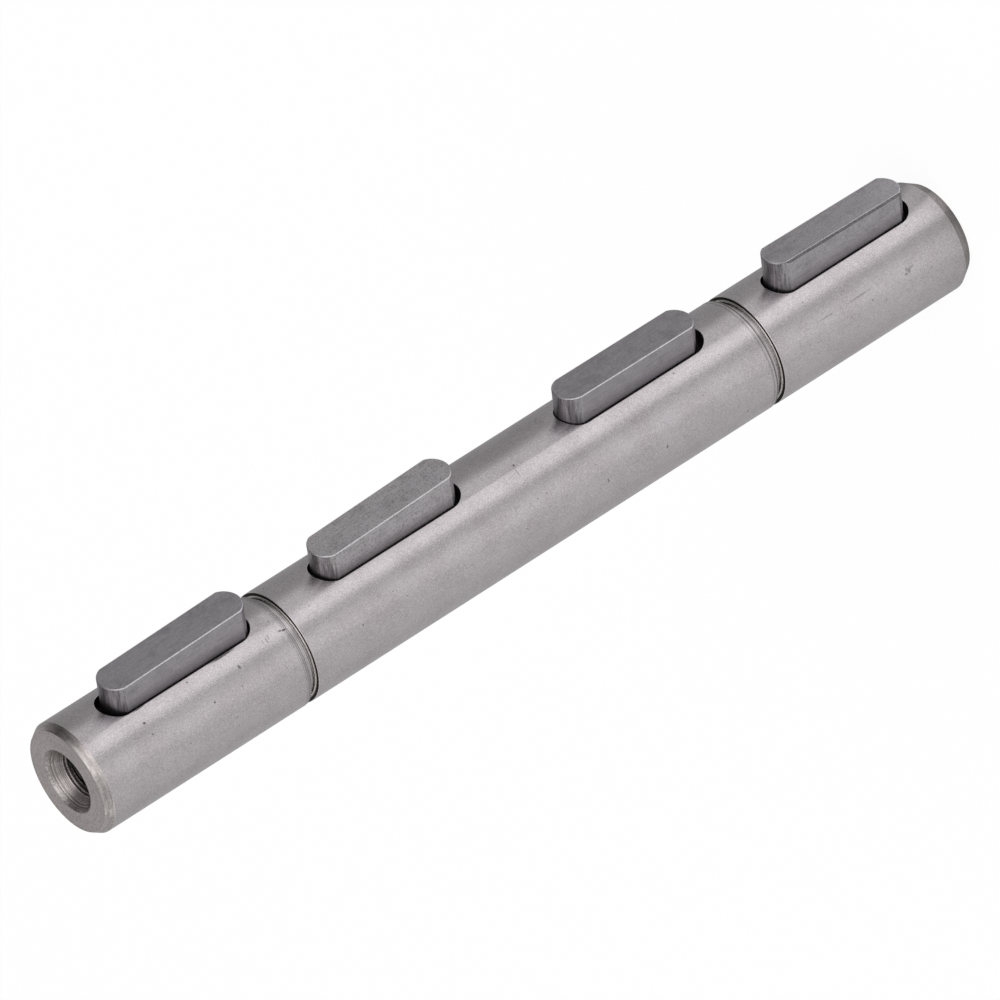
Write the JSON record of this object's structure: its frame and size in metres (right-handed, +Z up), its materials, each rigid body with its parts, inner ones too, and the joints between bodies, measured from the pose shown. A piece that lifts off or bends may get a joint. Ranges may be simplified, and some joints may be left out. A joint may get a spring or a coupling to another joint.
{
  "type": "transmission output shaft",
  "caption": "Double ended round output shaft with parallel keys standing in line, a ring groove near each end and a tapped centre hole in each end face.",
  "frame": {"origin": "centre of the lower end face, at the mouth of its centre hole, on the shaft's axis", "axes": "+Z up along the shaft's axis, and the keys face the front, -Y"},
  "size_m": [0.025, 0.0321, 0.2303],
  "materials": {
    "ground_bar": "ground round, fine marks around the axis",
    "key_steel": "dull drawn flats with milled round ends"
  },
  "bodies": {
    "root": {"shaft": "ground_bar", "upper_output_key": "key_steel", "upper_gear_key": "key_steel", "lower_gear_key": "key_steel", "lower_output_key": "key_steel"}
  },
  "joints": []
}
